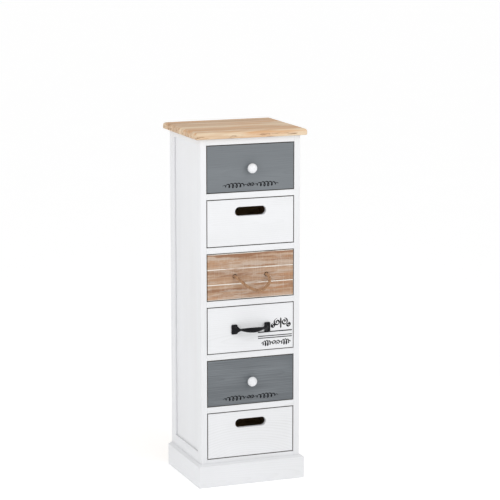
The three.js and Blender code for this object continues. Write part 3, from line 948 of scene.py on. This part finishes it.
LEAF_HALF_HEIGHT = 7.2 * MM
NECK_HALF_HEIGHT = 3 * MM
FOOT_HALF_HEIGHT = 11 * MM
NECK_X = 33 * MM
FOOT_X = 42 * MM
END_X = 54 * MM
BAR_THICKNESS = 8 * MM
PLATE_WIDTH = 17 * MM
PLATE_THICKNESS = 3.5 * MM
PLATE_CHAMFER = 2 * MM


def bar_half_height(distance):
    """A leaf, a neck, and a foot that fans out."""
    to_neck = min(distance / NECK_X, 1)
    to_foot = max(0.0, min((distance - NECK_X) / (FOOT_X - NECK_X), 1))
    leaf = (LEAF_HALF_HEIGHT - NECK_HALF_HEIGHT) * (1 - to_neck**2)
    foot = (FOOT_HALF_HEIGHT - NECK_HALF_HEIGHT) * to_foot**1.5
    return NECK_HALF_HEIGHT + leaf + foot


def bezier(a, b, c, d, t):
    return (1 - t) ** 3 * a + 3 * (1 - t) ** 2 * t * b + 3 * (1 - t) * t**2 * c + t**3 * d


def add_bow(bm, centre, reach):
    """The bow as rings of vertices from one foot to the other, each a soft-cornered oval with a ridge."""
    inner = reach - BAR_THICKNESS
    root = PLATE_THICKNESS / 2
    rings = []
    steps, sides = 32, 28
    for step in range(-steps, steps + 1):
        t, sign = abs(step) / steps, (1 if step >= 0 else -1)
        outer_x = bezier(0, 0.38 * END_X, 0.74 * END_X, END_X, t)
        outer_y = bezier(reach, reach, 0.5 * reach, root, t)
        inner_x = bezier(0, 0.4 * FOOT_X, 0.7 * FOOT_X, FOOT_X, t)
        inner_y = bezier(inner, inner, 0.36 * inner, root, t)
        ring = []
        for k in range(sides):
            angle = 2 * math.pi * k / sides
            a, b = math.cos(angle), math.sin(angle)
            # a runs from the inner curve to the outer one, and sharpens to a ridge on the outside.
            share = 0.5 + 0.5 * math.copysign(abs(a) ** (1.3 if a > 0 else 0.7), a)
            x = inner_x + share * (outer_x - inner_x)
            y = inner_y + share * (outer_y - inner_y)
            z = bar_half_height(x) * math.copysign(abs(b) ** 0.85, b)
            ring.append(bm.verts.new(centre + Vector((sign * x, -y, z))))
        rings.append(ring)
    skin_rings(bm, rings)


def add_plate(bm, middle, height):
    """A foot plate with its four corners cut off."""
    plate = bmesh.ops.create_cube(bm, size=1)["verts"]
    place = Matrix.Translation(middle) @ Matrix.Diagonal((PLATE_WIDTH, PLATE_THICKNESS, height, 1))
    bmesh.ops.transform(bm, matrix=place, verts=plate)
    edges = {edge for vert in plate for edge in vert.link_edges}
    corners = [e for e in edges if abs((e.verts[0].co - e.verts[1].co).normalized().y) > 0.9]
    bmesh.ops.bevel(bm, geom=corners, offset=PLATE_CHAMFER, segments=1, affect="EDGES")


def add_bar_handle(material):
    """A cast bow: a leaf that narrows to two necks and fans out into a plate at each end."""
    low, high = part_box("drawer_4_bar_handle")
    centre = front_middle(4)
    plate_x = (high.x - low.x - PLATE_WIDTH) / 2
    bm = bmesh.new()
    add_bow(bm, centre, high.y - low.y)
    for side in (-1, 1):
        middle = centre + Vector((side * plate_x, -PLATE_THICKNESS / 2, 0))
        add_plate(bm, middle, high.z - low.z)
    mesh = mesh_with(
        mesh_from(bm, "bar_raw"),
        "bar_handle",
        ("REMESH", {"mode": "VOXEL", "voxel_size": 0.55 * MM}),
        ("SMOOTH", {"factor": 0.5, "iterations": 5}),
    )
    mesh.shade_smooth()
    add_piece("bar_handle", mesh, material, "drawer_4", ["drawer_4_bar_handle"])


# ---- Stencilled ornament ----

INK_THICKNESS = 0.12 * MM
BORDER_PEN = 3.2 * MM
# How far each ruled line is below the middle of the front, and how thick it is.
RULES = ((14 * MM, 3 * MM), (25.5 * MM, 2.4 * MM), (31 * MM, 2.4 * MM))
# The eyes of the volutes, in mm: out from the centre stroke, up, and the volute's radius.
VOLUTES = ((10.5, 3, 10), (22, -6, 6.5))


def add_ribbon(bm, line, widest, nib=math.radians(40)):
    """A pen stroke as a thin strip: broad across the nib, narrow along it, and tapered at both ends."""
    rows = []
    count = len(line) - 1
    for i, point in enumerate(line):
        ahead = (line[min(i + 1, count)] - line[max(i - 1, 0)]).normalized()
        across = Vector((-ahead.z, 0, ahead.x))
        slope = math.atan2(ahead.z, ahead.x)
        taper = min(1.0, 0.25 + 6 * min(i, count - i) / count)
        half = widest / 2 * taper * (0.4 + 0.6 * abs(math.sin(slope - nib)))
        # Each stroke rises a little along its length, so that it crosses over itself.
        proud = Vector((0, -INK_THICKNESS * (0.6 + 0.4 * i / count), 0))
        corners = (point - across * half, point + across * half)
        row = [bm.verts.new(c + proud) for c in corners]
        row += [bm.verts.new(c) for c in reversed(corners)]
        rows.append(row)
    skin_rings(bm, rows)


def flourish_line(origin, width, height, waves, samples=26):
    """A running scroll of like loops, which die away in a level tail at each end."""
    line = []
    total = waves * samples
    for i in range(total + 1):
        s = i / total
        turn = 2 * math.pi * waves * s
        swell = math.sin(math.pi * min(max((s - 0.04) / 0.92, 0), 1)) ** 0.7
        x = width * (s - 0.5) - 0.42 * width / waves * swell * math.sin(turn)
        z = height / 2 * swell * -math.cos(turn)
        line.append(origin + Vector((x, 0, z)))
    return line


def spiral_line(origin, radius, turns, mirror=1, start=0.0):
    """A volute that unwinds from its eye."""
    count = int(36 * turns)
    line = []
    for i in range(count + 1):
        s = i / count
        angle = start + 2 * math.pi * turns * s
        line.append(origin + radius * s**0.8 * Vector((mirror * math.cos(angle), 0, math.sin(angle))))
    return line


def add_scroll_border(bm, origin, width, height, waves, widest):
    """Two running scrolls that meet at a pair of volutes, the same on both sides."""
    volute = 0.45 * height
    reach = width / 2 - 1.6 * volute
    for side in (-1, 1):
        start = origin + Vector((side * (width - reach) / 2, 0, 0))
        add_ribbon(bm, flourish_line(start, reach, height, waves), widest)
        eye = origin + Vector((side * 0.95 * volute, 0, 0))
        add_ribbon(bm, spiral_line(eye, volute, 1.4, side, math.pi / 2), widest)


def add_grey_ornament(number, material):
    """A border of scrolls low on a grey front."""
    low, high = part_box(f"drawer_{number}_front")
    middle = front_middle(number)
    tall = high.z - low.z
    bm = bmesh.new()
    origin = Vector((middle.x, middle.y, low.z + 0.135 * tall))
    add_scroll_border(bm, origin, 164 * MM, 12.5 * MM, 7, BORDER_PEN)
    mesh = mesh_from(bm, f"ornament_{number}", smooth=False)
    add_piece(mesh.name, mesh, material, f"drawer_{number}")


def add_rule(bm, start, length, thickness):
    """A level ruled line of ink, from its left end."""
    half = Vector((0, 0, thickness / 2))
    rows = []
    proud = Vector((0, -INK_THICKNESS, 0))
    for point in (start, start + Vector((length, 0, 0))):
        corners = (point - half + proud, point + half + proud, point + half, point - half)
        rows.append([bm.verts.new(corner) for corner in corners])
    skin_rings(bm, rows)


def add_white_ornament(number, material):
    """Scrolls above and below three ruled lines, at the right of the bar handle."""
    _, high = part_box(f"drawer_{number}_front")
    middle = front_middle(number)
    right = high.x - 3 * MM
    left = right - 100 * MM
    bm = bmesh.new()
    for drop, thickness in RULES:
        start = Vector((left, middle.y, middle.z - drop))
        add_rule(bm, start, right - left, thickness)
    above = Vector((right - 33 * MM, middle.y, middle.z + 8 * MM))
    below = Vector(((left + right) / 2 + 3 * MM, middle.y, middle.z - 46 * MM))
    for side in (-1, 1):
        for out, up, radius in VOLUTES:
            eye = above + Vector((side * out, 0, up)) * MM
            add_ribbon(bm, spiral_line(eye, radius * MM, 1.5, side, -math.pi / 2), 4.6 * MM)
    half = Vector((0, 0, 15 * MM))
    add_ribbon(bm, evenly([above - half, above + half], 1 * MM), 5 * MM)
    add_scroll_border(bm, below, 88 * MM, 15 * MM, 5, BORDER_PEN)
    mesh = mesh_from(bm, f"ornament_{number}", smooth=False)
    add_piece(mesh.name, mesh, material, f"drawer_{number}")


# ---- CAD boards ----


def smooth_by_angle_group():
    """A node group that smooths what a bevel rounds and keeps the flats flat."""
    group = bpy.data.node_groups.new("smooth_rounds", "GeometryNodeTree")
    group.interface.new_socket("Geometry", in_out="INPUT", socket_type="NodeSocketGeometry")
    group.interface.new_socket("Geometry", in_out="OUTPUT", socket_type="NodeSocketGeometry")
    nodes, links = group.nodes, group.links
    first, last = nodes.new("NodeGroupInput"), nodes.new("NodeGroupOutput")
    smooth = nodes.new("GeometryNodeSetShadeSmooth")
    sharp = nodes.new("GeometryNodeSetShadeSmooth")
    sharp.domain = "EDGE"
    sharp.inputs["Shade Smooth"].default_value = False
    angle = nodes.new("GeometryNodeInputMeshEdgeAngle")
    compare = nodes.new("FunctionNodeCompare")
    compare.operation = "GREATER_THAN"
    compare.inputs["B"].default_value = math.radians(50)
    links.new(first.outputs[0], smooth.inputs["Geometry"])
    links.new(smooth.outputs[0], sharp.inputs["Geometry"])
    links.new(angle.outputs["Unsigned Angle"], compare.inputs["A"])
    links.new(compare.outputs["Result"], sharp.inputs["Selection"])
    links.new(sharp.outputs[0], last.inputs[0])
    return group


def soften(board, width, group):
    """Eases a board's edges, as sanding does, without touching its mesh."""
    weld = board.modifiers.new("weld", "WELD")
    weld.merge_threshold = 0.01 * MM
    flat = board.modifiers.new("flat", "DECIMATE")
    flat.decimate_type = "DISSOLVE"
    flat.angle_limit = math.radians(1)
    bevel = board.modifiers.new("bevel", "BEVEL")
    bevel.width = width
    bevel.segments = 3
    bevel.limit_method = "ANGLE"
    bevel.angle_limit = math.radians(40)
    rounds = board.modifiers.new("rounds", "NODES")
    rounds.node_group = group
    weighted = board.modifiers.new("weighted", "WEIGHTED_NORMAL")
    weighted.keep_sharp = True


FINISHES = {
    "white_paint": white_paint,
    "grey_paint": grey_paint,
    "plank_wood": plank_wood,
    "drawer_wood": drawer_wood,
    "plywood": plywood,
}


def dress_boards():
    group = smooth_by_angle_group()
    slots = {row["node"]: row["material_slot"] for row in frame["record"]["subparts"]}
    for seed, (name, board) in enumerate(sorted(frame["nodes"].items())):
        if board.hide_render or slots[name] not in FINISHES:
            continue
        board.data.materials.clear()
        board.data.materials.append(FINISHES[slots[name]](name, seed))
        thin = min(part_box(name)[1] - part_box(name)[0])
        soften(board, min(ARRIS, thin / 6), group)


# ---- Making ----

add_camera()
rope_material = jute()
add_rope_pull(rope_material)
add_surroundings()
add_floor(floor_white())
add_top_board(top_wood("top_panel", 61))
knob_material = knob_paint()
iron_material = black_iron()
steel_material = zinc_steel()
ink_material = ink()
for drawer in (1, 5):
    add_knob(drawer, knob_material)
    add_screw(f"drawer_{drawer}_knob_screw", f"drawer_{drawer}", steel_material)
    add_grey_ornament(drawer, ink_material)
add_bar_handle(iron_material)
for side in ("left", "right"):
    add_screw(f"drawer_4_handle_screw_{side}", "drawer_4", steel_material)
add_white_ornament(4, ink_material)
dress_boards()
